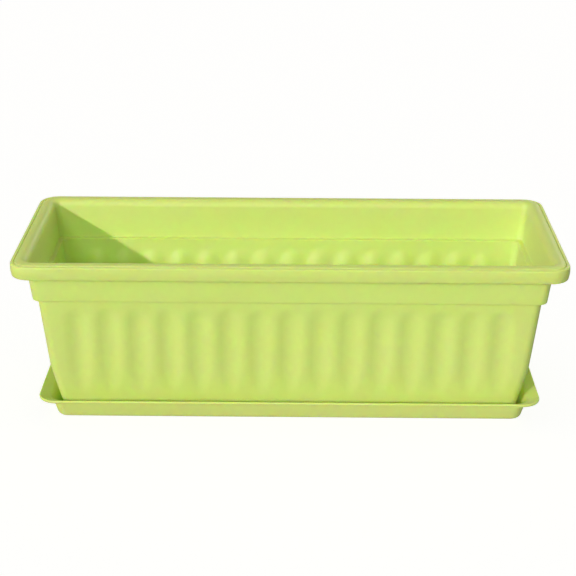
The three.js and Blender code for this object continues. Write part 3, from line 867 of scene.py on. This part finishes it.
CAMERA_AZIMUTH = math.radians(0.36)
CAMERA_ELEVATION = math.radians(23.1)
CAMERA_ROLL = math.radians(0.28)
CAMERA_DISTANCE = 1.617
CAMERA_LENS = 87.83
CAMERA_TARGET = Vector((-0.0024, 0.0, box_high.z - 0.0711))
SUN_TRAVEL = Vector((1.63, 2.25, -1.0))
FILL_TRAVEL = Vector((0.16, 0.89, -0.42))
BACK_TRAVEL = Vector((-0.6, -1.0, -0.42))
SUN_LIGHT = 1.95
FILL_LIGHT = 0.84
BACK_LIGHT = 0.66
SUN_COLOUR = (1.0, 0.9, 1.0)
FILL_COLOUR = (0.84, 1.0, 0.75)
BACK_COLOUR = (1.0, 1.0, 0.8)
SUN_SPREAD = math.radians(1.5)
FILL_SPREAD = math.radians(16.0)
BACK_SPREAD = math.radians(30.0)
SKY_COLOUR = (1.0, 0.97, 0.87)
SKY_LIGHT = 0.36
GROUND_LIGHT = 0.30
STAGE_HALF = 6.0
STAGE_RISE = 3.0
STAGE_BEND = 1.0
STAGE_STEPS = 16


def floor_material():
    recipe = Recipe("studio_floor")
    recipe.set(Base_Color=(0.3, 0.3, 0.3, 1), Roughness=1.0, Specular_IOR_Level=0.0)
    recipe.set(Emission_Color=(1, 1, 1, 1), Emission_Strength=0.89)
    return recipe.material


def build_stage():
    """A pale floor that bends up into a backdrop. It neither lights nor shades the pieces."""
    centre = STAGE_HALF - STAGE_BEND
    bm = bmesh.new()
    profile = [(-STAGE_HALF, 0.0), (centre, 0.0)]
    for k in range(1, STAGE_STEPS + 1):
        angle = math.pi / 2 * k / STAGE_STEPS
        profile.append((centre + STAGE_BEND * math.sin(angle), STAGE_BEND - STAGE_BEND * math.cos(angle)))
    profile.append((STAGE_HALF, STAGE_RISE))
    rows = [[bm.verts.new((x, y, z)) for x in (-STAGE_HALF, STAGE_HALF)] for y, z in profile]
    for first, second in zip(rows, rows[1:]):
        bm.faces.new((first[0], first[1], second[1], second[0]))
    mesh = bpy.data.meshes.new("studio_floor")
    bm.to_mesh(mesh)
    bm.free()
    mesh.shade_smooth()
    floor = bpy.data.objects.new("studio_floor", mesh)
    floor.data.materials.append(floor_material())
    bpy.context.scene.collection.objects.link(floor)
    for ray in ("visible_diffuse", "visible_glossy", "visible_transmission", "visible_shadow"):
        setattr(floor, ray, False)


def build_world():
    """Soft studio light: bright from above, dimmer from below, and plain white to the camera."""
    world = bpy.data.worlds.new("studio")
    world.use_nodes = True
    tree = world.node_tree
    background = tree.nodes["Background"]

    def node(kind, **inputs):
        made = tree.nodes.new(kind)
        for key, value in inputs.items():
            socket = made.inputs[key.replace("_", " ")]
            if isinstance(value, bpy.types.NodeSocket):
                tree.links.new(value, socket)
            else:
                socket.default_value = value
        return made

    direction = tree.nodes.new("ShaderNodeTexCoord").outputs["Generated"]
    height = node("ShaderNodeSeparateXYZ", Vector=direction).outputs["Z"]
    strength = node(
        "ShaderNodeMapRange", Value=height, From_Min=-0.12, From_Max=0.12,
        To_Min=GROUND_LIGHT, To_Max=SKY_LIGHT,
    ).outputs["Result"]
    seen = tree.nodes.new("ShaderNodeLightPath").outputs["Is Camera Ray"]
    strength = node("ShaderNodeMapRange", Value=seen, To_Min=strength, To_Max=1.0).outputs["Result"]
    tree.links.new(strength, background.inputs["Strength"])
    channels = [node("ShaderNodeMapRange", Value=seen, To_Min=share, To_Max=1.0) for share in SKY_COLOUR]
    colour = node("ShaderNodeCombineColor", **{
        name: channel.outputs["Result"] for name, channel in zip(("Red", "Green", "Blue"), channels)
    })
    tree.links.new(colour.outputs["Color"], background.inputs["Color"])
    bpy.context.scene.world = world


def build_lamp(name, travel, strength, spread, colour, lit):
    """A distant lamp that lights the pieces in a collection but not the floor."""
    light = bpy.data.lights.new(name, "SUN")
    light.energy = strength
    light.angle = spread
    light.color = colour
    lamp = bpy.data.objects.new(name, light)
    lamp.rotation_euler = travel.to_track_quat("-Z", "Y").to_euler()
    bpy.context.scene.collection.objects.link(lamp)
    lamp.light_linking.receiver_collection = lit


def build_lamps(pieces):
    """A low key light from the front left, a soft fill from behind the camera, and a weaker one from
    behind the object."""
    lit = bpy.data.collections.new("lit_by_lamps")
    for piece in pieces:
        lit.objects.link(piece)
    build_lamp("key", SUN_TRAVEL, SUN_LIGHT, SUN_SPREAD, SUN_COLOUR, lit)
    build_lamp("fill", FILL_TRAVEL, FILL_LIGHT, FILL_SPREAD, FILL_COLOUR, lit)
    build_lamp("back", BACK_TRAVEL, BACK_LIGHT, BACK_SPREAD, BACK_COLOUR, lit)


def build_camera():
    camera = bpy.data.objects.new("camera", bpy.data.cameras.new("camera"))
    camera.data.sensor_width = 36.0
    camera.data.lens = CAMERA_LENS
    camera.data.clip_start = 0.05
    camera.data.clip_end = 50.0
    azimuth, elevation = CAMERA_AZIMUTH, CAMERA_ELEVATION
    level = math.cos(elevation)
    back = Vector((math.sin(azimuth) * level, -math.cos(azimuth) * level, math.sin(elevation)))
    right = Vector((0, 0, 1)).cross(back).normalized()
    up = back.cross(right)
    rolled_right = right * math.cos(CAMERA_ROLL) + up * math.sin(CAMERA_ROLL)
    rolled_up = up * math.cos(CAMERA_ROLL) - right * math.sin(CAMERA_ROLL)
    turn = Matrix((rolled_right, rolled_up, back)).transposed().to_4x4()
    camera.matrix_world = Matrix.Translation(CAMERA_TARGET + back * CAMERA_DISTANCE) @ turn
    bpy.context.scene.collection.objects.link(camera)
    bpy.context.scene.camera = camera


# ---- Assembly ---------------------------------------------------------------------------------

lime = lime_plastic()
charcoal = charcoal_plastic()
cotton = cotton_cord()

pieces = [build_trough(lime), build_tray(lime)]
pieces += [build_platform(side, lime) for side in ("right", "left")]
for seed, (centre, name) in enumerate(CUP_PLACES):
    pieces.append(build_cup(name, centre.x, charcoal))
    pieces.append(build_cord(name, centre.x, seed, cotton))

build_stage()
build_world()
build_lamps(pieces)
build_camera()
bpy.context.scene.view_settings.view_transform = "Standard"
